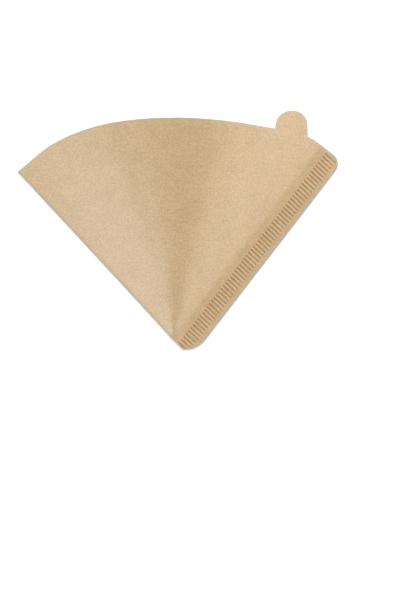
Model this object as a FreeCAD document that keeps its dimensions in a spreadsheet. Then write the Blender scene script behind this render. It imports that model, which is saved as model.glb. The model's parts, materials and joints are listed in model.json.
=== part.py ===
"""Cone coffee filter: one sheet of unbleached creped paper, folded in half and crimped shut.

The fold is the left edge, the crimped seam is the right edge, and the mouth is at the top.
The lower ply lies flat. The upper ply stands off it in an open, lopsided arch, as on a
filter that a hand has just parted. All sizes are in millimetres and degrees.

The filter is built with the seam's outer edge along +X from the sharp apex, the point where
the edges of the fold and the seam would meet, and with the paper on the +Y side of it. Its
last step turns it to its own frame: mouth towards +Y, centre of its footprint at the
origin, and underside on Z = 0.
"""
import FreeCAD
import Part
import Sketcher
import math
import os

SIZES = [
    ("ply_thickness", "0.2", "thickness of the paper"),
    ("fold_gap", "0.15", "space left between the plies at the fold"),
    ("sector_angle", "80.5", "angle between the fold and the seam, seen from above"),
    ("fold_length", "127.4", "from the sharp apex to the rim along the fold"),
    ("rim_by_fold", "127.45", "from the apex to the rim, one eighth of the way from the fold"),
    ("rim_left", "125.3", "from the apex to the rim, two eighths of the way"),
    ("rim_left_of_middle", "122.2", "from the apex to the rim, three eighths of the way"),
    ("rim_middle", "120.1", "from the apex to the rim, half way"),
    ("rim_right_of_middle", "119.7", "from the apex to the rim, five eighths of the way"),
    ("rim_right", "121.3", "from the apex to the rim, six eighths of the way"),
    ("rim_by_seam", "125.4", "from the apex to the rim, one eighth of the way from the seam"),
    ("seam_length", "124.4", "from the sharp apex to the rim along the seam"),
    ("rim_square", "16.5", "straight stretch of the rim, square to the seam"),
    ("rim_corner_radius", "6", "corner between the rim and the seam"),
    ("tip_cut", "4.5", "height of the blunt tip above the sharp apex"),
    ("tip_corner_radius", "12", "corner between the tip and the seam"),
    ("tab_width", "16.1", "pull tab on the upper ply"),
    ("tab_left_radius", "8", "rounding of the pull tab's corner on the fold's side"),
    ("tab_right_radius", "7", "rounding of the pull tab's corner on the seam's side"),
    ("tab_angle", "26.5", "place of the tab on the rim, from the middle towards the seam"),
    ("tab_offset", "2.1", "centre of the tab beyond the rim"),
    ("seam_margin", "2.6", "plain strip outside the crimp"),
    ("crimp_width", "7.2", "length of each crimped bar"),
    ("crimp_ramp", "2.5", "strip over which the plies part beside the crimp"),
    ("crimp_depth", "0.45", "depth of the crimped bars"),
    ("crimp_pitch", "1.895", "distance from bar to bar"),
    ("crimp_first", "2.1", "first bar from the sharp apex"),
    ("crimp_last", "2", "least distance from the last bar to the rim"),
    ("crimp_skew", "5.2", "lean of the bars towards the rim"),
    ("bar_mouth", "1.4", "width of a bar at its mouth"),
    ("bar_floor", "0.9", "width of a bar at its floor"),
    ("crown_height", "41", "rise of the upper ply at the rim"),
    ("crown_angle", "6", "line of the crown, from the middle towards the seam"),
    ("crown_margin", "1", "flat strip of the upper ply beside the fold and the crimp"),
    ("crown_fullness", "0.6", "1 for a round arch, 0 for a bell with flat feet"),
]

# Points that the arch's curve is drawn through, and where its cone is divided into strips
ARCH_POINTS = 9
# Uncut blanks and walls over the finished size, so that they always cross
BLANK_SHARE = 1.6
# Bars carried past the paper's face over their depth, so that they always cross it
BAR_SHARE = 0.25
# Room that the outline leaves outside the fold, for the paper's bend
BEND_ROOM = 1

doc = FreeCAD.newDocument("coffee_filter")
sheet = doc.addObject("Spreadsheet::Sheet", "sizes")
for row, (alias, value, meaning) in enumerate(SIZES, start=1):
    sheet.set(f"A{row}", alias)
    sheet.set(f"B{row}", value)
    sheet.set(f"C{row}", meaning)
    sheet.setAlias(f"B{row}", alias)
doc.recompute()

# Formulas of the sheet's sizes, each written once
CRIMP_END = "(sizes.seam_margin + sizes.crimp_width)"
SEAM_WIDTH = f"({CRIMP_END} + sizes.crimp_ramp)"
PRESSED_PLIES = "(2 * sizes.ply_thickness)"
PRESSED_TOP = f"(sizes.crimp_depth + {PRESSED_PLIES})"
UPPER_PLY_UNDERSIDE = "(sizes.ply_thickness + sizes.fold_gap)"
UPPER_PLY_TOP = f"({UPPER_PLY_UNDERSIDE} + sizes.ply_thickness)"
FOLD_INNER_RADIUS = "(sizes.fold_gap / 2)"
FOLD_OUTER_RADIUS = f"(sizes.ply_thickness + {FOLD_INNER_RADIUS})"
BAR_SLOPE = "((sizes.bar_mouth - sizes.bar_floor) / 2)"
BLANK_REACH = f"({BLANK_SHARE} * max(sizes.fold_length; sizes.seam_length))"
WALL_HEIGHT = f"({BLANK_SHARE} * (sizes.crown_height + {PRESSED_TOP}))"


def number(formula):
    """The value of a formula of the sheet's sizes."""
    result = sheet.evalExpression(formula)
    return float(getattr(result, "Value", result))


def add(kind, name, **settings):
    """An object of the document, labelled with its own name."""
    item = doc.addObject(kind, name)
    item.Label = name
    for key, setting in settings.items():
        setattr(item, key, setting)
    return item


def bind(item, **formulas):
    """Ties an object's sizes to the sheet."""
    for key, formula in formulas.items():
        item.setExpression(key, formula)
    return item


def outward(angle):
    """Unit vector from the apex, at an angle from the seam towards the fold."""
    return FreeCAD.Vector(math.cos(math.radians(angle)), math.sin(math.radians(angle)), 0)


SECTOR = number("sizes.sector_angle")
UP = FreeCAD.Vector(0, 0, 1)
SEAM_WAY = outward(0)
FOLD_WAY = outward(SECTOR)
MIDDLE_WAY = outward(SECTOR / 2)
INTO_SHEET = FOLD_WAY.cross(UP)
FLAT = FreeCAD.Rotation()


def polygon_sketch(name, corners, placement):
    """A closed sketch whose corners are each held by a pair of formulas."""
    sketch = add("Sketcher::SketchObject", name, Placement=placement)
    points = [FreeCAD.Vector(number(across), number(along), 0) for across, along in corners]
    for start, end in zip(points, points[1:] + points[:1]):
        sketch.addGeometry(Part.LineSegment(start, end), False)
    for place, (across, along) in enumerate(corners):
        following = (place + 1) % len(corners)
        sketch.addConstraint(Sketcher.Constraint("Coincident", place, 2, following, 1))
        for kind, formula in (("DistanceX", across), ("DistanceY", along)):
            reach = Sketcher.Constraint(kind, -1, 1, place, 1, number(formula))
            sketch.renameConstraint(sketch.addConstraint(reach), f"{kind}_{place}")
            sketch.setExpression(f"Constraints.{kind}_{place}", formula)
    return sketch


def extrude(outline, name, length, way):
    """A solid made by drawing a flat outline out in one direction."""
    solid = add("Part::Extrusion", name, Base=outline, DirMode="Custom", Dir=way, Solid=True)
    return bind(solid, LengthFwd=length)


# Seam strip: both plies pressed together as far as the crimp, then parting on a ramp
SEAM_SECTION = [
    ("0", "sizes.crimp_depth"),
    (CRIMP_END, "sizes.crimp_depth"),
    (SEAM_WIDTH, "0"),
    (SEAM_WIDTH, "sizes.ply_thickness"),
    (CRIMP_END, "sizes.crimp_depth + sizes.ply_thickness"),
    (SEAM_WIDTH, UPPER_PLY_UNDERSIDE),
    (SEAM_WIDTH, UPPER_PLY_TOP),
    (CRIMP_END, PRESSED_TOP),
    ("0", PRESSED_TOP),
]
facing_along_seam = FreeCAD.Rotation(FreeCAD.Vector(1, 1, 1), 120)
seam_section = polygon_sketch(
    "seam_section", SEAM_SECTION, FreeCAD.Placement(FreeCAD.Vector(), facing_along_seam)
)
seam_strip = extrude(seam_section, "seam_strip", BLANK_REACH, SEAM_WAY)


# Crimp: each bar is a shallow tray pressed down through both plies
def bar_block(name, foot):
    """The space of one bar, a block with sloping sides that stands at a given level."""
    block = add("Part::Wedge", name)
    return bind(
        block,
        Ymin=foot,
        Ymax=f"{foot} + {1 + BAR_SHARE} * sizes.crimp_depth",
        Xmin=BAR_SLOPE,
        Xmax=f"sizes.crimp_width - {BAR_SLOPE}",
        X2min=f"-{BAR_SHARE} * {BAR_SLOPE}",
        X2max=f"sizes.crimp_width + {BAR_SHARE} * {BAR_SLOPE}",
        Zmin="-sizes.bar_floor / 2",
        Zmax="sizes.bar_floor / 2",
        Z2min=f"-sizes.bar_floor / 2 - {1 + BAR_SHARE} * {BAR_SLOPE}",
        Z2max=f"sizes.bar_floor / 2 + {1 + BAR_SHARE} * {BAR_SLOPE}",
    )


def bar_row(name, block):
    """The bars along the seam, one to each pitch, leaning towards the rim."""
    upright = FreeCAD.Rotation(FreeCAD.Vector(1, 0, 0), 90)
    leaning = FreeCAD.Rotation(UP, 90 - number("sizes.crimp_skew"))
    first = number("sizes.crimp_first")
    pitch = number("sizes.crimp_pitch")
    row = number("sizes.seam_length - sizes.crimp_last") - first
    bars = []
    for place in range(int(row / pitch) + 1):
        bar = block.Shape.copy()
        foot = FreeCAD.Vector(first + place * pitch, number("sizes.seam_margin"), 0)
        bar.Placement = FreeCAD.Placement(foot, leaning.multiply(upright))
        bars.append(bar)
    return add("Part::Feature", name, Shape=Part.makeCompound(bars))


ridge_bar = bar_block("ridge_bar", "0")
groove_bar = bar_block("groove_bar", PRESSED_PLIES)
doc.recompute()
ridges = bar_row("ridges", ridge_bar)
grooves = bar_row("grooves", groove_bar)
ridged_strip = add("Part::Fuse", "ridged_strip", Base=seam_strip, Tool=ridges)
crimped_strip = add("Part::Cut", "crimped_strip", Base=ridged_strip, Tool=grooves)


# Plies: flat blanks beside the seam strip, joined by a half tube along the fold
def ply_blank(name, underside):
    """One ply as a flat triangle of paper, larger than the filter."""
    corner = f"({FOLD_OUTER_RADIUS} + {SEAM_WIDTH} * cos(sizes.sector_angle)) / sin(sizes.sector_angle)"
    far_across = f"{corner} + {BLANK_REACH} * cos(sizes.sector_angle)"
    far_along = f"{SEAM_WIDTH} + {BLANK_REACH} * sin(sizes.sector_angle)"
    corners = [(corner, SEAM_WIDTH), (f"{corner} + {BLANK_REACH}", SEAM_WIDTH), (far_across, far_along)]
    level = FreeCAD.Placement(UP * number(underside), FLAT)
    outline = polygon_sketch(f"{name}_outline", corners, level)
    return extrude(outline, name, "sizes.ply_thickness", UP)


lower_blank = ply_blank("lower_blank", "0")
upper_blank = ply_blank("upper_blank", UPPER_PLY_UNDERSIDE)

fold_radius = number(FOLD_OUTER_RADIUS)
bulging_out = FreeCAD.Rotation(UP * -1, INTO_SHEET * -1, FOLD_WAY, "ZXY")
fold_axis = FreeCAD.Placement((INTO_SHEET + UP) * fold_radius, bulging_out)
fold_outside = add("Part::Cylinder", "fold_outside", Angle=180, Placement=fold_axis)
bind(fold_outside, Radius=FOLD_OUTER_RADIUS, Height=BLANK_REACH)
fold_inside = add("Part::Cylinder", "fold_inside", Angle=180, Placement=fold_axis)
bind(fold_inside, Radius=FOLD_INNER_RADIUS, Height=BLANK_REACH)
fold_tube = add("Part::Cut", "fold_tube", Base=fold_outside, Tool=fold_inside)
ramp_foot = FreeCAD.Vector(-number(BLANK_REACH), number(SEAM_WIDTH), 0)
inside_ramp = add("Part::Box", "inside_ramp", Placement=FreeCAD.Placement(ramp_foot, FLAT))
bind(inside_ramp, Length=f"2 * {BLANK_REACH}", Width=BLANK_REACH, Height=BLANK_REACH)
fold_bend = add("Part::Common", "fold_bend", Base=fold_tube, Tool=inside_ramp)

# Crown: the upper ply rises from a point near the tip to an arch at the mouth
crown_from_seam = number(f"{SEAM_WIDTH} + sizes.crown_margin")
crown_from_fold = number(f"{FOLD_OUTER_RADIUS} + sizes.crown_margin")
crown_start = FreeCAD.Vector(
    (crown_from_fold + crown_from_seam * FOLD_WAY.x) / FOLD_WAY.y, crown_from_seam, 0
)
towards_seam = MIDDLE_WAY.cross(UP)
crown_way = outward(SECTOR / 2 - number("sizes.crown_angle"))
crown_at_rim = crown_way * number("sizes.rim_middle") - crown_start
arch_distance = number(BLANK_REACH) * math.cos(math.radians(SECTOR / 2))
arch_half_width = arch_distance * math.tan(math.radians(SECTOR / 2))
arch_scale = arch_distance / crown_at_rim.dot(MIDDLE_WAY)
arch_crown = crown_at_rim.dot(towards_seam) * arch_scale / arch_half_width


def arch(share):
    """Height of the arch, from 0 to 1, at a share of its half width from its middle."""
    if share < arch_crown:
        climb = (share + 1) / (arch_crown + 1)
    else:
        climb = (1 - share) / (1 - arch_crown)
    round_arch = math.sin(math.pi * climb / 2)
    bell = (1 - math.cos(math.pi * climb)) / 2
    fullness = number("sizes.crown_fullness")
    return fullness * round_arch + (1 - fullness) * bell


def crown_cone(name, foot):
    """The space under the arch, in strips from its point near the tip to beyond the rim."""
    start = add("Part::Vertex", f"{name}_start", X=crown_start.x, Y=crown_start.y)
    bind(start, Z=foot)
    middle = crown_start + MIDDLE_WAY * arch_distance + UP * number(foot)
    points = []
    for place in range(ARCH_POINTS):
        share = 2 * place / (ARCH_POINTS - 1) - 1
        rise = number("sizes.crown_height") * arch_scale * arch(share)
        points.append(middle + towards_seam * share * arch_half_width + UP * rise)
    curve = Part.BSplineCurve()
    curve.interpolate(points)
    strips = [span.toShape() for span in curve.toBezier()]
    profile = Part.Wire(strips + [Part.makeLine(points[-1], points[0])])
    section = add("Part::Feature", f"{name}_section", Shape=profile)
    return add("Part::Loft", name, Sections=[start, section], Solid=True, Ruled=True)


crown_outside = crown_cone("crown_outside", UPPER_PLY_TOP)
crown_inside = crown_cone("crown_inside", UPPER_PLY_UNDERSIDE)
raised_blank = add("Part::Fuse", "raised_blank", Base=upper_blank, Tool=crown_outside)
raised_ply = add("Part::Cut", "raised_ply", Base=raised_blank, Tool=crown_inside)

# Outline: the plies end at the rim, the blunt tip and the seam's edge
rim_on_fold = FOLD_WAY * number("sizes.fold_length")
rim_on_seam = SEAM_WAY * number("sizes.seam_length")
rim_stops = ["by_fold", "left", "left_of_middle", "middle", "right_of_middle", "right", "by_seam"]
rim_points = [rim_on_fold]
for place, stop in enumerate(rim_stops, start=1):
    rim_points.append(outward(SECTOR * (1 - place / 8)) * number(f"sizes.rim_{stop}"))
across_seam = FreeCAD.Vector(0, 1, 0)
rim_shoulder = rim_on_seam + across_seam * number("sizes.rim_square")
along_rim = (rim_points[1] - rim_on_fold).normalize()
rim_curve = Part.BSplineCurve()
rim_curve.interpolate(
    Points=rim_points + [rim_shoulder], InitialTangent=along_rim, FinalTangent=across_seam * -1
)
tip_side = number("sizes.tip_cut / cos(sizes.sector_angle / 2)")
tip_on_fold = FOLD_WAY * tip_side
tip_on_seam = SEAM_WAY * tip_side


def outline_walls(name, corners):
    """Upright walls over the rim's curve and the straight sides between given corners."""
    sides = [Part.makeLine(start, end) for start, end in zip(corners, corners[1:])]
    outline = Part.Face(Part.Wire([rim_curve.toShape()] + sides))
    return extrude(add("Part::Feature", f"{name}_outline", Shape=outline), name, WALL_HEIGHT, UP)


def upright_edge(solid, corner):
    """Number of the solid's upright edge over a corner of its outline."""
    for index, edge in enumerate(solid.Shape.Edges, start=1):
        off_corner = [(vertex.Point - corner).cross(UP).Length for vertex in edge.Vertexes]
        if max(off_corner) < FreeCAD.Base.Precision.confusion():
            return index
    raise ValueError("no upright edge over the corner")


seam_corners = [rim_shoulder, rim_on_seam, tip_on_seam]
seam_walls = outline_walls("seam_walls", seam_corners + [tip_on_fold, rim_on_fold])
bend_room = INTO_SHEET * -BEND_ROOM
fold_corners = [tip_on_fold + bend_room, rim_on_fold + bend_room, rim_on_fold]
ply_walls = outline_walls("ply_walls", seam_corners + fold_corners)
doc.recompute()
rim_corner = number("sizes.rim_corner_radius")
tip_corner = number("sizes.tip_corner_radius")
rounded_walls = add("Part::Fillet", "rounded_walls", Base=seam_walls)
rounded_walls.Edges = [
    (upright_edge(seam_walls, rim_on_seam), rim_corner, rim_corner),
    (upright_edge(seam_walls, tip_on_seam), tip_corner, tip_corner),
]

# Pull tab: an ear of the upper ply with rounded corners, centred just beyond the rim
tab_line = outward(SECTOR / 2 - number("sizes.tab_angle")) * number(BLANK_REACH)
tab_ray = Part.makeLine(FreeCAD.Vector(), tab_line)
rim_at_tab = rim_curve.toShape().distToShape(tab_ray)[1][0][0]
tab_centre = rim_at_tab + MIDDLE_WAY * number("sizes.tab_offset")
tab_half = number("sizes.tab_width / 2")
tab_corners = [tab_centre + (MIDDLE_WAY + towards_seam * side) * tab_half for side in (-1, 1)]
tab_foot = tab_centre - (MIDDLE_WAY + towards_seam) * tab_half
tab_upright = FreeCAD.Rotation(towards_seam, MIDDLE_WAY, UP, "ZXY")
tab_block = add("Part::Box", "tab_block", Placement=FreeCAD.Placement(tab_foot, tab_upright))
bind(tab_block, Length="sizes.tab_width", Width="sizes.tab_width", Height=WALL_HEIGHT)
doc.recompute()
tab_radii = [number("sizes.tab_left_radius"), number("sizes.tab_right_radius")]
tab_walls = add("Part::Fillet", "tab_walls", Base=tab_block)
tab_walls.Edges = [
    (upright_edge(tab_block, corner), radius, radius) for corner, radius in zip(tab_corners, tab_radii)
]
upper_walls = add("Part::Fuse", "upper_walls", Base=ply_walls, Tool=tab_walls)

# One folded sheet: the crimped seam, the lower ply with the fold, and the upper ply
seam_part = add("Part::Common", "seam_part", Base=crimped_strip, Tool=rounded_walls)
folded_blank = add("Part::Fuse", "folded_blank", Base=lower_blank, Tool=fold_bend)
lower_part = add("Part::Common", "lower_part", Base=folded_blank, Tool=ply_walls)
upper_part = add("Part::Common", "upper_part", Base=raised_ply, Tool=upper_walls)
filter_parts = [seam_part, lower_part, upper_part]
coffee_filter = add("Part::MultiFuse", "coffee_filter", Shapes=filter_parts, Refine=True)
doc.recompute()

# Own frame: mouth towards +Y, centre of the footprint at the origin, underside on Z = 0
mouth_up = FreeCAD.Rotation(UP, 90 - SECTOR / 2)
turned = coffee_filter.Shape.copy()
turned.Placement = FreeCAD.Placement(FreeCAD.Vector(), mouth_up)
extent = turned.optimalBoundingBox(True, False)
footprint_centre = FreeCAD.Vector(extent.Center.x, extent.Center.y, 0)
coffee_filter.Placement = FreeCAD.Placement(footprint_centre * -1, mouth_up)
doc.recompute()

for item in doc.Objects:
    if "Invalid" in item.State or "Error" in item.State:
        raise RuntimeError(f"{item.Label} failed to build")
shape = coffee_filter.Shape
if shape.isNull() or not shape.isValid() or len(shape.Solids) != 1:
    raise RuntimeError(f"{coffee_filter.Label} isn't one valid solid")

os.makedirs("parts", exist_ok=True)
shape.exportStep(f"parts/{coffee_filter.Label}.step")
extent = shape.optimalBoundingBox(True, False)
print(f"{coffee_filter.Label}: {shape.Volume:.2f} mm3, {extent}")
print(f"sharp apex at {coffee_filter.Placement.Base}")
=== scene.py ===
"""Looks of the paper coffee filter: one folded sheet of unbleached creped paper.

The sheet is a single closed mesh that follows the fold, the crimp and the arch of the
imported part. It lies on its flat lower ply on a pale floor, and the camera looks down on it.
"""
import json
import math

import bpy
import numpy as np
from mathutils import Matrix, Vector
from mathutils.geometry import delaunay_2d_cdt

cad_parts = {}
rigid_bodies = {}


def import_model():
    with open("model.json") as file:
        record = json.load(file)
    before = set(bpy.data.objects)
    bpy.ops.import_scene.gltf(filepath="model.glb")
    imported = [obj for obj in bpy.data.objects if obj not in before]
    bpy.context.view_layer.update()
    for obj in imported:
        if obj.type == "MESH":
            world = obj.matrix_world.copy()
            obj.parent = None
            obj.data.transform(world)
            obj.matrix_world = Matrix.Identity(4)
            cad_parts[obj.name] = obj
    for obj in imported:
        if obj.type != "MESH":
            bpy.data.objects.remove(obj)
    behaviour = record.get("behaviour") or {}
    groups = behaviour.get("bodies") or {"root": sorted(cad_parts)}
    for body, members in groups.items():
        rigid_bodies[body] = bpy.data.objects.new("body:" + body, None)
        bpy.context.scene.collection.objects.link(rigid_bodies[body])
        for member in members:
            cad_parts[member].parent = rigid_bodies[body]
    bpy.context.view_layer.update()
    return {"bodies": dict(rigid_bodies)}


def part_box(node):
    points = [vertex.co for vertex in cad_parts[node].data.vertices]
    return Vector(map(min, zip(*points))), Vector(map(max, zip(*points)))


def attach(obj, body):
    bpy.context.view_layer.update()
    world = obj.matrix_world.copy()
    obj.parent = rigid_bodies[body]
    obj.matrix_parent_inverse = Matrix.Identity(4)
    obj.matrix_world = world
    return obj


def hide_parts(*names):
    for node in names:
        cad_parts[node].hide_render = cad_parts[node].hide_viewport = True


bl_info = {
    "name": "Paper Coffee Filter",
    "version": (1, 0, 0),
    "blender": (4, 5, 0),
    "location": "View3D > Sidebar > Coffee Filter",
    "description": "Builds a folded paper coffee filter, its paper and its studio",
    "category": "Object",
}

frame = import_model()
FILTER_NODE = "coffee_filter"
NODE_LOW, NODE_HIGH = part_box(FILTER_NODE)
ROOT_BODY = next(iter(frame["bodies"]))
IMAGE_WIDTH = 401
IMAGE_HEIGHT = 601
MM = 0.001

# Slack of the paper: waves round the tip as turns, phase and share, a ripple as size in
# metres and phase, and the distance in metres from fold and crimp over which slack sets in.
# The fold bends in a few steps, and its painted edge shade is weaker than that of a cut edge
BUCKLE_WAVES = ((11, 0.6, 0.5), (23, 2.1, 0.28), (37, 4.4, 0.14))
RIPPLE = ((0.013, 1.7), (0.017, 0.4))
RIPPLE_SHARE = 0.3
SLACK_FADE = 0.02
FOLD_STEPS = 6
FOLD_EDGE_SHADE_SHARE = 0.6

# Paper: gain and shift that spread the noise over the two pulps, and how strongly marks show
GRAIN_GAIN = 3.7
GRAIN_SHIFT = -1.8
CLOUD_GAIN = 0.9
FIBRE_TURNS = (0.5, 1.9)
# How strongly the crimp's tint shows: crushed paper, with painted shade towards the bars' inner
# ends
PRESSED_AND_SHADE_SHARE = 0.6
# How strongly the painted grey shade line along the edges shows
EDGE_SHADE_SHARE = 0.9
CREPE_TURN = math.radians(-40)
CREPE_STRETCH = 0.2

# Studio: how much the floor glows to the camera, and the softboxes as name, bearing and
# height in degrees, distance in metres and the setting with the power
FLOOR_LIFT = 0.3
FLOOR_REACH = 20.0
FLOOR_LEVEL = -0.05 * MM
SOFTBOXES = (
    ("left_softbox", 221, 24, 0.38, "left_power"),
    ("right_softbox", 30, 14, 0.9, "right_power"),
    ("mouth_softbox", 80, 55, 0.9, "mouth_power"),
)


def length(name, description, size, unit="LENGTH"):
    """A property that holds a real length, given here in millimetres."""
    return bpy.props.FloatProperty(
        name=name, description=description, default=size * MM, unit=unit, precision=5
    )


def angle(name, description, degrees):
    """A property that holds an angle, given here in degrees."""
    return bpy.props.FloatProperty(
        name=name, description=description, default=math.radians(degrees), subtype="ANGLE"
    )


def power(name, description, watts):
    """A property that holds the power of a light."""
    return bpy.props.FloatProperty(
        name=name, description=description, default=watts, unit="POWER", min=0
    )


def plain(name, description, value, **limits):
    """A property that holds a plain number, not below 0."""
    return bpy.props.FloatProperty(
        name=name, description=description, default=value, min=0, **limits
    )


def tint(name, description, hex_colour):
    """A property that holds a colour, given here as an sRGB hex value."""
    return bpy.props.FloatVectorProperty(
        name=name,
        description=description,
        default=linear(hex_colour),
        subtype="COLOR",
        size=4,
        min=0,
        max=1,
    )


def linear(hex_colour):
    """The linear colour of an sRGB hex value."""
    shares = [int(hex_colour[place : place + 2], 16) / 255 for place in (1, 3, 5)]
    return [s / 12.92 if s <= 0.04045 else ((s + 0.055) / 1.055) ** 2.4 for s in shares] + [1.0]


class FilterSizes(bpy.types.PropertyGroup):
    """The sheet's own sizes, as in the part's source."""

    sector: angle("Sector", "Angle between the fold and the seam, seen from above", 80.5)
    ply: length("Ply", "Thickness of the paper", 0.2)
    fold_gap: length("Fold gap", "Space left between the plies at the fold", 0.15)
    pressed_gap: length("Pressed gap", "Space left between the plies in the crimp", 0.02)
    fold_length: length("Fold", "From the sharp apex to the rim along the fold", 127.4)
    rim_by_fold: length("Rim by the fold", "Apex to rim, one eighth of the way", 127.45)
    rim_left: length("Rim left", "Apex to rim, two eighths of the way", 125.3)
    rim_left_of_middle: length("Rim left of middle", "Apex to rim, three eighths", 122.2)
    rim_middle: length("Rim middle", "Apex to rim, half way", 120.1)
    rim_right_of_middle: length("Rim right of middle", "Apex to rim, five eighths", 119.7)
    rim_right: length("Rim right", "Apex to rim, six eighths of the way", 121.3)
    rim_by_seam: length("Rim by the seam", "Apex to rim, seven eighths of the way", 125.4)
    seam_length: length("Seam", "From the sharp apex to the rim along the seam", 124.4)
    rim_square: length("Square rim", "Straight stretch of the rim, square to the seam", 16.5)
    rim_corner: length("Rim corner", "Corner radius between the rim and the seam", 6)
    tip_cut: length("Tip cut", "Height of the blunt tip above the sharp apex", 4.5)
    tip_corner: length("Tip corner", "Corner radius between the tip and the seam", 12)
    tab_width: length("Tab", "Width of the pull tab", 16.1)
    tab_left: length("Tab's left corner", "Rounding of the tab on the fold's side", 8)
    tab_right: length("Tab's right corner", "Rounding of the tab on the seam's side", 7)
    tab_angle: angle("Tab angle", "Place of the tab, from the middle towards the seam", 26.5)
    tab_offset: length("Tab offset", "Centre of the tab beyond the rim", 2.1)
    seam_margin: length("Seam margin", "Plain strip outside the crimp", 2.6)
    crimp_width: length("Crimp", "Length of each crimped bar", 7.2)
    crimp_ramp: length("Crimp ramp", "Strip over which the plies part beside the crimp", 2.5)
    crimp_depth: length("Crimp depth", "Depth of the crimped bars", 0.45)
    crimp_pitch: length("Crimp pitch", "Distance from bar to bar", 1.895)
    crimp_first: length("First bar", "First bar from the sharp apex", 2.1)
    crimp_last: length("Last bar", "Least distance from the last bar to the rim", 2)
    crimp_skew: angle("Crimp skew", "Lean of the bars towards the rim", 5.2)
    bar_mouth: length("Bar mouth", "Width of a bar at its mouth", 1.4)
    bar_floor: length("Bar floor", "Width of a bar at its floor", 0.9)
    crown_height: length("Crown", "Rise of the upper ply at the rim", 41)
    crown_angle: angle("Crown line", "Line of the crown, from the middle towards the seam", 6)
    crown_margin: length("Crown margin", "Flat strip of the upper ply beside its edges", 1)
    crown_fullness: plain("Crown fullness", "1 for a round arch, 0 for a bell", 0.6, max=1)
    crown_bow: plain("Crown bow", "How far the crown's line bows up between tip and rim", 0.2)
    crown_ease: plain("Crown ease", "Share of the half width over which the crown turns", 0.22)
    foot_lift: length("Foot lift", "Fullness of the upper ply by the fold and the crimp", 0.8)
    foot_near: length("Foot near", "Distance in which that fullness rises", 1.5)
    foot_far: length("Foot far", "Distance in which that fullness fades", 12)
    buckle: length("Buckle", "Slack in the paper, from crest to mean", 0.35)
    field_step: length("Mesh step", "Distance between points on the plain paper", 1.5)
    edge_step: length("Edge step", "Distance between points along the edges", 0.8)


class PaperLook(bpy.types.PropertyGroup):
    """Colour and surface of the paper."""

    light: tint("Light pulp", "Where the sheet is thin and clean", "#D9BA8D")
    dark: tint("Dark pulp", "Where the pulp lies thicker", "#C3A579")
    fibre: tint("Bark fibre", "Stray brown fibres of the unbleached pulp", "#AC8757")
    # Crushed paper is darker; this tint also carries painted shade in the grooves, deepest at the
    # bars' inner ends
    pressed: tint("Pressed paper", "Paper crushed in the crimp", "#BC8645")
    # Painted shade, not wear: a grey line along the sheet's cut edges and, weaker, along the fold
    edge: tint("Worn edge", "Paper fibres scuffed grey at the sheet's edges", "#B9B5A8")
    grain_size: length("Grain", "Width of the paper's mottled grain", 0.85)
    cloud_size: length("Cloud", "Width of the pulp's cloudy patches", 9)
    fibre_length: length("Fibre length", "Length of the stray fibres", 4)
    fibre_width: length("Fibre width", "Width of the fibres, coarse enough to show", 0.35)
    crepe_pitch: length("Crepe pitch", "Distance between the crepe's fine ridges", 1.1)
    crepe_height: length("Crepe height", "Height of the crepe's ridges", 0.05)


class StudioSettings(bpy.types.PropertyGroup):
    """Camera, lights and floor."""

    pixel: length("Pixel", "Size of one pixel at the surface that the filter lies on", 0.5)
    apex_across: plain("Apex across", "Sharp apex in the picture, in pixels from its left", 190.78)
    apex_down: plain("Apex down", "Sharp apex in the picture, in pixels from its top", 358.81)
    roll: angle("Roll", "Lean of the filter's middle line to the left in the picture", 2.61)
    distance: length("Distance", "Camera to floor", 6000)
    tent_wall: plain("Tent wall", "Strength of the light tent's bright walls", 1.32)
    tent_roof: plain("Tent roof", "Strength of the tent's dim roof, by the camera", 0.18)
    wall_top: angle("Wall top", "Height up to which the tent's walls are fully bright", 25)
    roof_edge: angle("Roof edge", "Height from which the tent's roof is dim", 52)
    left_power: power("Left softbox", "Power of the small softbox by the tip and the fold", 0.17)
    right_power: power("Right softbox", "Power of the low softbox on the seam's side", 2.8)
    mouth_power: power("Mouth softbox", "Power of the softbox on the mouth's side", 3.0)
    floor: tint("Floor", "Pale studio floor", "#F4F3F1")


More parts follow.
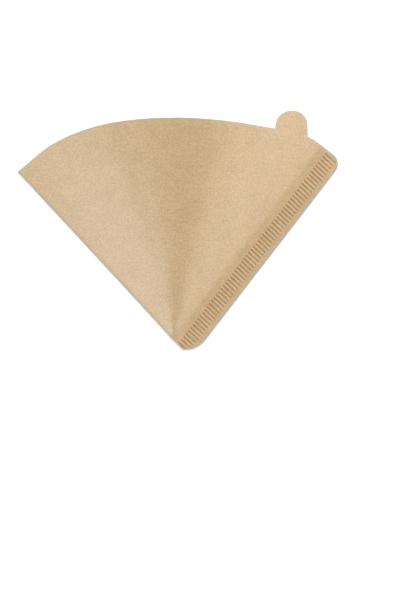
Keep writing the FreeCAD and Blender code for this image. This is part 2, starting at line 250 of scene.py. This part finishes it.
# Plan of the sheet, seen from above: directions, then distances from the seam and the fold
class Plan:
    """The sheet's outline and lines in the part's own frame, in metres."""

    def __init__(self, sizes):
        self.sizes = sizes
        half = sizes.sector / 2
        self.seam_way = np.array((math.sin(half), math.cos(half)))
        self.fold_way = np.array((-math.sin(half), math.cos(half)))
        self.from_seam = np.array((-math.cos(half), math.sin(half)))
        self.from_fold = np.array((math.cos(half), math.sin(half)))
        self.apex = np.array(
            (NODE_LOW.x + sizes.fold_length * math.sin(half), NODE_LOW.y - sizes.tip_cut)
        )
        self.fold_radius = sizes.ply + sizes.fold_gap / 2
        self.crimp_end = sizes.seam_margin + sizes.crimp_width
        self.seam_width = self.crimp_end + sizes.crimp_ramp
        crimp_row = sizes.seam_length - sizes.crimp_first - sizes.crimp_last
        self.bars = int(crimp_row / sizes.crimp_pitch) + 1
        self.crown_start = self.beside(
            self.seam_width + sizes.crown_margin, self.fold_radius + sizes.crown_margin
        )
        crown_way = np.array((math.sin(sizes.crown_angle), math.cos(sizes.crown_angle)))
        reach = self.apex + crown_way * sizes.rim_middle - self.crown_start
        self.crown_reach = reach[1]
        self.crown_share = reach[0] / (reach[1] * math.tan(half))

    def beside(self, off_seam, off_fold):
        """The point at given distances inside the seam's edge and inside the fold's edge."""
        along = (off_fold + off_seam * math.cos(self.sizes.sector)) / math.sin(self.sizes.sector)
        return self.apex + self.seam_way * along + self.from_seam * off_seam

    def towards(self, angle):
        """Unit vector from the apex, at an angle from the middle towards the seam."""
        return np.array((math.sin(angle), math.cos(angle)))

    def rim(self):
        """Points along the rim, from the fold to the corner with the seam."""
        sizes = self.sizes
        stops = [
            sizes.fold_length,
            sizes.rim_by_fold,
            sizes.rim_left,
            sizes.rim_left_of_middle,
            sizes.rim_middle,
            sizes.rim_right_of_middle,
            sizes.rim_right,
            sizes.rim_by_seam,
        ]
        points = [
            self.apex + self.towards(sizes.sector * (place / 8 - 0.5)) * radius
            for place, radius in enumerate(stops)
        ]
        corner = self.apex + self.seam_way * sizes.seam_length
        points = np.array(points + [corner + self.from_seam * sizes.rim_square])
        chords = np.linalg.norm(np.diff(points, axis=0), axis=1)
        ways = np.gradient(points, np.concatenate(([0], np.cumsum(chords))), axis=0)
        ways[0] = (points[1] - points[0]) / chords[0]
        ways[-1] = -self.from_seam
        share = np.linspace(0, 1, 40, endpoint=False)[:, None]
        curve = []
        for place, chord in enumerate(chords):
            curve.append(
                (1 + 2 * share) * (1 - share) ** 2 * points[place]
                + share * (1 - share) ** 2 * ways[place] * chord
                + share**2 * (3 - 2 * share) * points[place + 1]
                - share**2 * (1 - share) * ways[place + 1] * chord
            )
        return np.concatenate(curve + [points[-1:], corner[None]])


def rounded(points, corner, radius, steps):
    """The arc that rounds the corner between two straight sides, as a list of points."""
    before, after = points
    into = (before - corner) / np.linalg.norm(before - corner)
    out = (after - corner) / np.linalg.norm(after - corner)
    half = math.acos(float(np.clip(into @ out, -1, 1))) / 2
    middle = into + out
    centre = corner + middle / np.linalg.norm(middle) * (radius / math.sin(half))
    start = corner + into * (radius / math.tan(half)) - centre
    end = corner + out * (radius / math.tan(half)) - centre
    turn = math.atan2(start[0] * end[1] - start[1] * end[0], start @ end)
    arc = []
    for share in np.linspace(0, 1, steps):
        spin = turn * share
        arc.append(
            centre
            + start * math.cos(spin)
            + np.array((-start[1], start[0])) * math.sin(spin)
        )
    return arc


def resample(points, step):
    """Evenly spaced points along a line of points, both ends kept."""
    points = np.asarray(points)
    runs = np.concatenate(([0], np.cumsum(np.linalg.norm(np.diff(points, axis=0), axis=1))))
    count = max(2, int(round(runs[-1] / step)) + 1)
    marks = np.linspace(0, runs[-1], count)
    return np.stack([np.interp(marks, runs, points[:, axis]) for axis in (0, 1)], axis=1)


def tab_outline(plan, rim):
    """The rim with the tab on it: left rim, the tab's sides and rounded corners, right rim."""
    sizes = plan.sizes
    half = sizes.tab_width / 2
    turns = np.arctan2(rim[:, 0] - plan.apex[0], rim[:, 1] - plan.apex[1])
    foot = np.array([np.interp(sizes.tab_angle, turns, rim[:, axis]) for axis in (0, 1)])
    centre = foot + np.array((0, sizes.tab_offset))
    across = rim[:, 0] - centre[0]
    sides = [
        np.array((centre[0] + x, np.interp(x, across, rim[:, 1]))) for x in (-half, half)
    ]
    corners = [centre + np.array((x, half)) for x in (-half, half)]
    ear = [sides[0]]
    ear += rounded((sides[0], corners[1]), corners[0], sizes.tab_left, 12)
    ear += rounded((corners[0], sides[1]), corners[1], sizes.tab_right, 12)
    ear.append(sides[1])
    left = np.concatenate((rim[across < -half], sides[:1]))
    right = np.concatenate((sides[1:], rim[across > half]))
    return [left, np.array(ear), right]


def ply_outline(plan, with_tab):
    """Outline of one ply and how many of its points lie on the fold, from the tip up."""
    sizes = plan.sizes
    tip_side = sizes.tip_cut / math.cos(sizes.sector / 2)
    shift = plan.from_fold * plan.fold_radius
    reaches = (tip_side, sizes.fold_length)
    fold_ends = [plan.apex + plan.fold_way * reach + shift for reach in reaches]
    fold_line = resample(fold_ends, sizes.edge_step)
    rim = plan.rim()
    rim = rim[(rim - plan.apex) @ plan.from_fold > plan.fold_radius + sizes.edge_step / 2]
    rim = np.concatenate((fold_line[-1:], rim))
    tip_corner = plan.apex + plan.seam_way * tip_side
    corner_arc = rounded((rim[-2], tip_corner), rim[-1], sizes.rim_corner, 12)
    tip_arc = rounded((rim[-1], fold_line[0]), tip_corner, sizes.tip_corner, 10)
    rim = rim[:-1][(rim[:-1] - corner_arc[0]) @ plan.from_seam > 0]
    runs = tab_outline(plan, rim) if with_tab else [rim]
    runs[-1] = np.concatenate((runs[-1], corner_arc[:1]))
    runs += [corner_arc, [corner_arc[-1], tip_arc[0]], tip_arc, [tip_arc[-1], fold_line[0]]]
    rest = [resample(run, sizes.edge_step)[:-1] for run in runs]
    return np.concatenate([fold_line] + [rest[0][1:]] + rest[1:]), len(fold_line)


def inside(points, outline):
    """Which points lie inside a closed outline."""
    crossings = np.zeros(len(points), dtype=int)
    for start, end in zip(outline, np.roll(outline, -1, axis=0)):
        spans = (start[1] > points[:, 1]) != (end[1] > points[:, 1])
        if start[1] != end[1]:
            run, climb = end - start
            meets = start[0] + (points[:, 1] - start[1]) * run / climb
            crossings += spans & (points[:, 0] < meets)
    return crossings % 2 == 1


def clearance(points, outline):
    """Distance from each point to a closed outline."""
    nearest = np.full(len(points), np.inf)
    for start, end in zip(outline, np.roll(outline, -1, axis=0)):
        side = end - start
        along = np.clip(((points - start) @ side) / (side @ side), 0, 1)
        away = np.linalg.norm(points - start - along[:, None] * side, axis=1)
        nearest = np.minimum(nearest, away)
    return nearest


def crimp_points(plan):
    """Points on and between the bars, closer together where the paper turns."""
    sizes = plan.sizes
    floor = sizes.bar_floor / 2
    mouth = sizes.bar_mouth / 2
    slope = mouth - floor
    ease = slope / 4
    half_bar = [0, floor - ease, floor + ease, (floor + mouth) / 2, mouth - ease, mouth + ease]
    offsets = [-x for x in half_bar[:0:-1]] + half_bar + [sizes.crimp_pitch / 2]
    start = sizes.seam_margin
    end = plan.crimp_end
    ends = [-ease, ease, slope / 2, slope - ease, slope + ease]
    rows = [start / 2] + [start + x for x in ends]
    rows += list(np.linspace(start + 2 * slope, end - 2 * slope, 5))
    rows += [end - x for x in ends[::-1]]
    rows += [end + sizes.crimp_ramp * share for share in (0.25, 0.5, 0.75, 1)]
    lean = math.tan(sizes.crimp_skew)
    points = []
    for bar in range(plan.bars):
        middle = sizes.crimp_first + bar * sizes.crimp_pitch
        for row in rows:
            for offset in offsets:
                along = middle + offset + lean * (row - start)
                points.append(plan.apex + plan.seam_way * along + plan.from_seam * row)
    return np.array(points)


def field_points(plan):
    """Evenly spread points on the plain paper inside the crimp."""
    step = plan.sizes.field_step
    across = np.arange(NODE_LOW.x, NODE_HIGH.x, step)
    along = np.arange(NODE_LOW.y, NODE_HIGH.y, step * math.sqrt(3) / 2)
    grid = []
    for place, y in enumerate(along):
        row = across + (step / 2 if place % 2 else 0)
        grid.append(np.stack((row, np.full_like(row, y)), axis=1))
    points = np.concatenate(grid)
    return points[(points - plan.apex) @ plan.from_seam > plan.seam_width + step / 2]


def ply_plan(plan, with_tab):
    """Plan points of one ply, its triangles, and how many of its points lie on the fold."""
    outline, on_fold = ply_outline(plan, with_tab)
    crimp = crimp_points(plan)
    field = field_points(plan)
    crimp = crimp[inside(crimp, outline)]
    crimp = crimp[clearance(crimp, outline) > plan.sizes.edge_step / 3]
    field = field[inside(field, outline)]
    field = field[clearance(field, outline) > plan.sizes.field_step / 2]
    points = np.concatenate((outline, crimp, field))
    corners = [Vector(point) for point in points / MM]
    made, _, triangles, *_ = delaunay_2d_cdt(corners, [], [list(range(len(outline)))], 1, 1e-6)
    if len(made) != len(corners):
        raise RuntimeError("two plan points of the sheet fall together")
    return points, np.array(triangles), len(outline), on_fold


def smooth(value):
    """Eased step from 0 to 1."""
    value = np.clip(value, 0, 1)
    return value * value * (3 - 2 * value)


def bar_mask(plan, points):
    """How far each point is pressed down in a bar, from 0 to 1."""
    sizes = plan.sizes
    off_seam = (points - plan.apex) @ plan.from_seam
    along = (points - plan.apex) @ plan.seam_way
    along = along - math.tan(sizes.crimp_skew) * (off_seam - sizes.seam_margin)
    place = np.clip(np.round((along - sizes.crimp_first) / sizes.crimp_pitch), 0, plan.bars - 1)
    off_bar = np.abs(along - sizes.crimp_first - place * sizes.crimp_pitch)
    slope = (sizes.bar_mouth - sizes.bar_floor) / 2
    across = smooth((sizes.bar_mouth / 2 - off_bar) / slope)
    outer_end = smooth((off_seam - sizes.seam_margin) / slope)
    inner_end = smooth((plan.crimp_end - off_seam) / slope)
    return across * outer_end * inner_end


def arch(plan, share):
    """Height of the arch, from 0 to 1, at a share of its half width from its middle."""
    crown = plan.crown_share
    climb = np.where(share < crown, (share + 1) / (crown + 1), (1 - share) / (1 - crown))
    climb = np.clip(climb, 0, 1)
    fullness = plan.sizes.crown_fullness
    bell = (1 - np.cos(np.pi * climb)) / 2
    return fullness * np.sin(np.pi * climb / 2) + (1 - fullness) * bell


def soft_arch(plan, share):
    """The arch with its turn at the crown eased."""
    ease = plan.sizes.crown_ease * np.clip(1 - share**2, 0, 1)
    return (arch(plan, share - ease) + 2 * arch(plan, share) + arch(plan, share + ease)) / 4


def crown_rise(plan, points):
    """Rise of the upper ply over its flat state."""
    rel = points - plan.crown_start
    reach = np.maximum(rel[:, 1], 1e-9)
    share = rel[:, 0] / (reach * math.tan(plan.sizes.sector / 2))
    run = reach / plan.crown_reach
    climb = run + plan.sizes.crown_bow * run * (1 - run)
    rise = plan.sizes.crown_height * climb * soft_arch(plan, share)
    return np.where((rel[:, 1] > 0) & (np.abs(share) < 1), rise, 0)


def buckles(plan, points):
    """Slight slack in the paper: long soft folds that run from the tip to the rim."""
    rel = points - plan.crown_start
    reach = np.maximum(np.linalg.norm(rel, axis=1), 1e-9)
    turn = np.arctan2(rel[:, 0], rel[:, 1])
    waves = sum(np.sin(turn * turns + phase) * share for turns, phase, share in BUCKLE_WAVES)
    (width, phase_x), (depth, phase_y) = RIPPLE
    ripple = np.sin(rel[:, 0] / width + phase_x) * np.sin(rel[:, 1] / depth + phase_y)
    slack = waves + ripple * RIPPLE_SHARE
    return plan.sizes.buckle * slack * np.clip(reach / plan.crown_reach, 0, 1.2)


def foot_lift(plan, points):
    """Fullness of the upper ply where it leaves the fold and the crimp."""
    sizes = plan.sizes
    off_fold = (points - plan.apex) @ plan.from_fold - plan.fold_radius
    off_crimp = (points - plan.apex) @ plan.from_seam - plan.crimp_end
    lift = 0
    for distance in (np.maximum(off_fold, 0), np.maximum(off_crimp, 0)):
        rising = 1 - np.exp(-distance / sizes.foot_near)
        lift = lift + rising * np.exp(-distance / sizes.foot_far)
    return sizes.foot_lift * lift


def ply_levels(plan, points, upper):
    """Height of the middle of the paper over the floor, for one ply."""
    sizes = plan.sizes
    off_seam = (points - plan.apex) @ plan.from_seam
    off_fold = (points - plan.apex) @ plan.from_fold
    parted = smooth((off_seam - plan.crimp_end) / sizes.crimp_ramp)
    dent = sizes.crimp_depth * bar_mask(plan, points)
    pressed = sizes.crimp_depth + sizes.ply / 2 - dent
    slack = smooth((off_seam - plan.seam_width) / SLACK_FADE) * smooth(off_fold / SLACK_FADE)
    if not upper:
        return pressed * (1 - parted) + sizes.ply / 2 * parted
    pressed = pressed + sizes.ply + sizes.pressed_gap
    flat = sizes.ply * 1.5 + sizes.fold_gap
    rise = crown_rise(plan, points) + buckles(plan, points) * slack
    rise += foot_lift(plan, points) * parted
    return pressed * (1 - parted) + flat * parted + rise


def slopes(plan, points, upper):
    """Unit normals of one ply, from the heights around each point."""
    probe = 0.00004
    step_x = np.array((probe, 0))
    step_y = np.array((0, probe))
    run_x = ply_levels(plan, points + step_x, upper) - ply_levels(plan, points - step_x, upper)
    run_y = ply_levels(plan, points + step_y, upper) - ply_levels(plan, points - step_y, upper)
    normals = np.stack((-run_x, -run_y, np.full(len(points), 2 * probe)), axis=1)
    return normals / np.linalg.norm(normals, axis=1)[:, None]


def sheet_mesh(plan):
    """The folded sheet as points, faces, and marks for the crimp's tint with its painted shade and
    for the painted grey edge shade.
    """
    half_ply = plan.sizes.ply / 2
    points, faces, marks = [], [], []
    skins = {}
    for upper in (False, True):
        flat, triangles, on_edge, on_fold = ply_plan(plan, upper)
        levels = ply_levels(plan, flat, upper)
        middle = np.concatenate((flat, levels[:, None]), axis=1)
        normals = slopes(plan, flat, upper)
        # Crimp mark: crushed paper in the bars, plus painted shade that grows towards the bars'
        # inner ends
        off_seam = (flat - plan.apex) @ plan.from_seam
        pressed = bar_mask(plan, flat) * (off_seam - plan.sizes.seam_margin)
        pressed /= plan.sizes.crimp_width
        # Outline points carry the painted grey edge shade
        edge_shade_mark = np.arange(len(flat)) < on_edge
        for side in (1, -1):
            first = sum(len(block) for block in points)
            points.append(middle + normals * half_ply * side)
            marks.append(np.stack((pressed, edge_shade_mark), axis=1))
            turned = triangles if side > 0 else triangles[:, ::-1]
            faces += [tuple(int(corner) + first for corner in face) for face in turned]
            skins[upper, side] = (first, on_edge, on_fold)
        top, bottom = skins[upper, 1][0], skins[upper, -1][0]
        for place in range(on_fold - 1, on_edge):
            following = (place + 1) % on_edge
            faces.append((top + place, bottom + place, bottom + following, top + following))
    add_fold(plan, points, faces, marks, skins)
    return np.concatenate(points), faces, np.concatenate(marks)


def add_fold(plan, points, faces, marks, skins):
    """The bend that joins the plies' outer faces and their inner faces along the fold."""
    stacked = np.concatenate(points)
    on_fold = skins[True, 1][2]
    outward = np.append(-plan.from_fold, 0)
    bends = {}
    for side in (1, -1):
        upper = stacked[skins[True, side][0] :][:on_fold]
        lower = stacked[skins[False, -side][0] :][:on_fold]
        centre = (upper + lower) / 2
        radius = np.linalg.norm(upper - lower, axis=1)[:, None] / 2
        rows = [skins[True, side][0] + np.arange(on_fold)]
        for step in range(1, FOLD_STEPS):
            turn = math.pi * step / FOLD_STEPS
            first = sum(len(block) for block in points)
            bend = (upper - centre) * math.cos(turn) + outward * radius * math.sin(turn)
            points.append(centre + bend)
            marks.append(np.tile((0.0, FOLD_EDGE_SHADE_SHARE), (on_fold, 1)))
            rows.append(first + np.arange(on_fold))
        rows.append(skins[False, -side][0] + np.arange(on_fold))
        bends[side] = rows
        for row, next_row in zip(rows, rows[1:]):
            for place in range(on_fold - 1):
                face = (row[place], next_row[place], next_row[place + 1], row[place + 1])
                faces.append(tuple(int(corner) for corner in (face if side < 0 else face[::-1])))
    for place, flip in ((0, True), (on_fold - 1, False)):
        for step in range(FOLD_STEPS):
            outer, inner = (bends[side][step : step + 2] for side in (1, -1))
            face = (outer[0][place], inner[0][place], inner[1][place], outer[1][place])
            faces.append(tuple(int(corner) for corner in (face[::-1] if flip else face)))


def add_node(tree, kind, inputs=None, **settings):
    """Adds a node with its settings, and sets or links its inputs. Returns its first output."""
    node = tree.nodes.new(kind)
    for name, setting in settings.items():
        setattr(node, name, setting)
    for name, source in (inputs or {}).items():
        if isinstance(source, bpy.types.NodeSocket):
            tree.links.new(source, node.inputs[name])
        else:
            node.inputs[name].default_value = source
    return next((socket for socket in node.outputs if socket.enabled), None)


def paper_material(look):
    """Unbleached filter paper, creped on the machine.

    The eye gets a tan sheet with a soft sheen where it faces away, a fine mottled grain,
    faint clouds of thicker pulp, a few brown fibres, darker crushed paper in the crimp with
    painted shade that deepens towards the bars' inner ends, a painted grey shade line along
    the cut edges, and creping ridges that only show in raking light. Fibres and crepe
    are drawn coarser than real ones, which would be finer than a pixel.
    """
    material = bpy.data.materials.new("unbleached_creped_paper")
    material.use_nodes = True
    tree = material.node_tree
    tree.nodes.clear()
    place = add_node(tree, "ShaderNodeTexCoord").node.outputs["Object"]
    grain = add_node(
        tree,
        "ShaderNodeTexNoise",
        {"Vector": place, "Scale": 1 / look.grain_size, "Detail": 3.0, "Roughness": 0.6},
    )
    cloud = add_node(
        tree,
        "ShaderNodeTexNoise",
        {"Vector": place, "Scale": 1 / look.cloud_size, "Detail": 3.0, "Roughness": 0.55},
    )
    mottle = add_node(
        tree, "ShaderNodeMath", {0: grain, 1: GRAIN_GAIN, 2: GRAIN_SHIFT}, operation="MULTIPLY_ADD"
    )
    mottle = add_node(
        tree,
        "ShaderNodeMath",
        {0: cloud, 1: CLOUD_GAIN, 2: mottle},
        operation="MULTIPLY_ADD",
        use_clamp=True,
    )
    pulp = add_node(
        tree,
        "ShaderNodeMix",
        {"Factor": mottle, "A": list(look.dark), "B": list(look.light)},
        data_type="RGBA",
    )
    for turn in FIBRE_TURNS:
        combed = add_node(
            tree,
            "ShaderNodeMapping",
            {
                "Vector": place,
                "Rotation": (0, 0, turn),
                "Scale": (1 / look.fibre_length, 1 / look.fibre_width, 1 / look.fibre_length),
            },
        )
        strands = add_node(
            tree,
            "ShaderNodeTexNoise",
            {"Vector": combed, "Scale": 1.0, "Detail": 1.0, "Distortion": 0.6},
        )
        strands = add_node(
            tree,
            "ShaderNodeMapRange",
            {"Value": strands, "From Min": 0.66, "From Max": 0.76, "To Min": 0.0, "To Max": 0.45},
        )
        pulp = add_node(
            tree,
            "ShaderNodeMix",
            {"Factor": strands, "A": pulp, "B": list(look.fibre)},
            data_type="RGBA",
        )
    # The crimp's tint: crushed paper, with painted shade that deepens towards the bars' inner ends
    crushed_and_shaded = add_node(tree, "ShaderNodeAttribute", attribute_name="pressed").node.outputs["Fac"]
    crushed_and_shaded = add_node(
        tree, "ShaderNodeMath", {0: crushed_and_shaded, 1: PRESSED_AND_SHADE_SHARE}, operation="MULTIPLY"
    )
    colour = add_node(
        tree,
        "ShaderNodeMix",
        {"Factor": crushed_and_shaded, "A": pulp, "B": list(look.pressed)},
        data_type="RGBA",
    )
    # Painted grey shade line along the cut edges and the fold
    edge = add_node(tree, "ShaderNodeAttribute", attribute_name="edge").node.outputs["Fac"]
    edge = add_node(
        tree,
        "ShaderNodeMapRange",
        {"Value": edge, "From Min": 0.2, "From Max": 0.9, "To Max": EDGE_SHADE_SHARE},
    )
    colour = add_node(
        tree,
        "ShaderNodeMix",
        {"Factor": edge, "A": colour, "B": list(look.edge)},
        data_type="RGBA",
    )
    creped = add_node(
        tree,
        "ShaderNodeMapping",
        {
            "Vector": place,
            "Rotation": (0, 0, CREPE_TURN),
            "Scale": [share / look.crepe_pitch for share in (CREPE_STRETCH, 1, CREPE_STRETCH)],
        },
    )
    ridges = add_node(
        tree,
        "ShaderNodeTexNoise",
        {"Vector": creped, "Scale": 1.0, "Detail": 2.0, "Distortion": 0.3},
    )
    relief = add_node(
        tree, "ShaderNodeMath", {0: grain, 1: 0.6, 2: ridges}, operation="MULTIPLY_ADD"
    )
    bump = add_node(
        tree,
        "ShaderNodeBump",
        {"Height": relief, "Distance": look.crepe_height, "Strength": 1.0},
    )
    shader = add_node(
        tree,
        "ShaderNodeBsdfPrincipled",
        {
            "Base Color": colour,
            "Normal": bump,
            "Roughness": 0.38,
            "IOR": 1.45,
            "Specular IOR Level": 1.0,
            "Sheen Weight": 0.4,
            "Sheen Roughness": 0.5,
        },
    )
    add_node(tree, "ShaderNodeOutputMaterial", {"Surface": shader})
    return material


def floor_material(settings):
    """Matt white studio card: it lights up white to the camera and keeps the soft shadow."""
    material = bpy.data.materials.new("matt_white_card")
    material.use_nodes = True
    tree = material.node_tree
    tree.nodes.clear()
    rays = add_node(tree, "ShaderNodeLightPath").node.outputs
    seen = rays["Is Camera Ray"]
    for kind in ("Is Glossy Ray", "Is Transmission Ray"):
        seen = add_node(tree, "ShaderNodeMath", {0: seen, 1: rays[kind]}, operation="MAXIMUM")
    lift = add_node(tree, "ShaderNodeMath", {0: seen, 1: FLOOR_LIFT}, operation="MULTIPLY")
    shader = add_node(
        tree,
        "ShaderNodeBsdfPrincipled",
        {
            "Base Color": list(settings.floor),
            "Roughness": 0.9,
            "Specular IOR Level": 0.1,
            "Emission Color": (1, 1, 1, 1),
            "Emission Strength": lift,
        },
    )
    add_node(tree, "ShaderNodeOutputMaterial", {"Surface": shader})
    return material


def new_object(name, data):
    """An object of the scene."""
    made = bpy.data.objects.new(name, data)
    bpy.context.scene.collection.objects.link(made)
    return made


class FILTER_OT_fold_sheet(bpy.types.Operator):
    """Folds, crimps and parts the sheet of paper"""

    bl_idname = "coffee_filter.fold_sheet"
    bl_label = "Fold the Sheet"

    def execute(self, context):
        plan = Plan(context.scene.filter_sizes)
        points, faces, marks = sheet_mesh(plan)
        mesh = bpy.data.meshes.new("folded_sheet")
        mesh.from_pydata([tuple(point) for point in points], [], faces)
        for name, values in zip(("pressed", "edge"), marks.T):
            mesh.attributes.new(name, "FLOAT", "POINT").data.foreach_set("value", values.copy())
        mesh.polygons.foreach_set("use_smooth", [True] * len(mesh.polygons))
        mesh.set_sharp_from_angle(angle=math.radians(60))
        if mesh.validate():
            raise RuntimeError("the folded sheet has broken faces")
        sheet = new_object("folded_sheet", mesh)
        mesh.materials.append(paper_material(context.scene.paper_look))
        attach(sheet, ROOT_BODY)
        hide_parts(FILTER_NODE)
        return {"FINISHED"}


class FILTER_OT_set_studio(bpy.types.Operator):
    """Sets the floor, the lights and the camera"""

    bl_idname = "coffee_filter.set_studio"
    bl_label = "Set the Studio"

    def execute(self, context):
        settings = context.scene.studio_settings
        self.lay_floor(settings)
        self.light_tent(context.scene, settings)
        self.hang_softboxes(settings)
        self.aim_camera(context.scene, settings)
        view = context.scene.view_settings
        view.view_transform = "Standard"
        return {"FINISHED"}

    def lay_floor(self, settings):
        """A wide card under the filter."""
        mesh = bpy.data.meshes.new("studio_floor")
        ends = ((-1, -1), (1, -1), (1, 1), (-1, 1))
        corners = [(x * FLOOR_REACH, y * FLOOR_REACH, FLOOR_LEVEL) for x, y in ends]
        mesh.from_pydata(corners, [], [(0, 1, 2, 3)])
        mesh.materials.append(floor_material(settings))
        new_object("studio_floor", mesh)

    def light_tent(self, scene, settings):
        """A white tent all round, with bright walls and a dim roof. The camera sees it white."""
        world = bpy.data.worlds.new("light_tent")
        scene.world = world
        world.use_nodes = True
        tree = world.node_tree
        tree.nodes.clear()
        way = add_node(tree, "ShaderNodeTexCoord").node.outputs["Generated"]
        rise = add_node(tree, "ShaderNodeSeparateXYZ", {"Vector": way}).node.outputs["Z"]
        strength = add_node(
            tree,
            "ShaderNodeMapRange",
            {
                "Value": rise,
                "From Min": math.sin(settings.wall_top),
                "From Max": math.sin(settings.roof_edge),
                "To Min": settings.tent_wall,
                "To Max": settings.tent_roof,
            },
            interpolation_type="SMOOTHSTEP",
        )
        rays = add_node(tree, "ShaderNodeLightPath").node.outputs
        strength = add_node(
            tree, "ShaderNodeMix", {"Factor": rays["Is Camera Ray"], "A": strength, "B": 1.0}
        )
        white = (1, 1, 1, 1)
        glow = add_node(tree, "ShaderNodeBackground", {"Color": white, "Strength": strength})
        add_node(tree, "ShaderNodeOutputWorld", {"Surface": glow})

    def hang_softboxes(self, settings):
        """Softboxes at three sides: two low ones for the flanks, and one that rakes the crimp."""
        for name, bearing, height, distance, watts in SOFTBOXES:
            lamp = bpy.data.lights.new(name, "AREA")
            lamp.shape = "RECTANGLE"
            lamp.size = distance / 2
            lamp.size_y = distance / 4
            lamp.energy = getattr(settings, watts)
            box = new_object(name, lamp)
            turn, rise = math.radians(bearing), math.radians(height)
            level = Vector((math.cos(turn), math.sin(turn), 0)) * math.cos(rise)
            way = level + Vector((0, 0, math.sin(rise)))
            box.location = way * distance
            box.rotation_euler = (-way).to_track_quat("-Z", "Y").to_euler()
            box.visible_camera = False

    def aim_camera(self, scene, settings):
        """Straight down on the filter, with the sharp apex on its own pixel."""
        plan = Plan(scene.filter_sizes)
        turn = settings.roll
        right = Vector((math.cos(turn), -math.sin(turn), 0))
        up = Vector((math.sin(turn), math.cos(turn), 0))
        across = (IMAGE_WIDTH / 2 - settings.apex_across) * settings.pixel
        above = (settings.apex_down - IMAGE_HEIGHT / 2) * settings.pixel
        target = Vector((*plan.apex, 0)) + right * across + up * above
        data = bpy.data.cameras.new("camera")
        data.sensor_width = 36
        data.lens = data.sensor_width * settings.distance / (IMAGE_HEIGHT * settings.pixel)
        data.clip_end = settings.distance * 20
        camera = new_object("camera", data)
        camera.location = target + Vector((0, 0, settings.distance))
        camera.rotation_euler = Matrix((right, up, Vector((0, 0, 1)))).transposed().to_euler()
        scene.camera = camera


class FILTER_PT_panel(bpy.types.Panel):
    """Lists the steps and their sizes in the 3D view's sidebar"""

    bl_label = "Coffee Filter"
    bl_idname = "FILTER_PT_panel"
    bl_space_type = "VIEW_3D"
    bl_region_type = "UI"
    bl_category = "Coffee Filter"

    def draw(self, context):
        for step, group in STEPS:
            box = self.layout.box()
            box.operator(step.bl_idname)
            for name in group:
                settings = getattr(context.scene, name)
                for key in settings.__annotations__:
                    box.prop(settings, key)


STEPS = (
    (FILTER_OT_fold_sheet, ("filter_sizes", "paper_look")),
    (FILTER_OT_set_studio, ("studio_settings",)),
)
GROUPS = {"filter_sizes": FilterSizes, "paper_look": PaperLook, "studio_settings": StudioSettings}
CLASSES = (*GROUPS.values(), FILTER_OT_fold_sheet, FILTER_OT_set_studio, FILTER_PT_panel)


def register():
    """Registers the classes and hangs their settings on the scene."""
    for item in CLASSES:
        bpy.utils.register_class(item)
    for name, group in GROUPS.items():
        setattr(bpy.types.Scene, name, bpy.props.PointerProperty(type=group))


def unregister():
    """Takes away what register adds."""
    for name in GROUPS:
        delattr(bpy.types.Scene, name)
    for item in reversed(CLASSES):
        bpy.utils.unregister_class(item)


def main():
    """Builds the filter and its studio."""
    register()
    bpy.ops.coffee_filter.fold_sheet()
    bpy.ops.coffee_filter.set_studio()


if __name__ == "__main__":
    main()
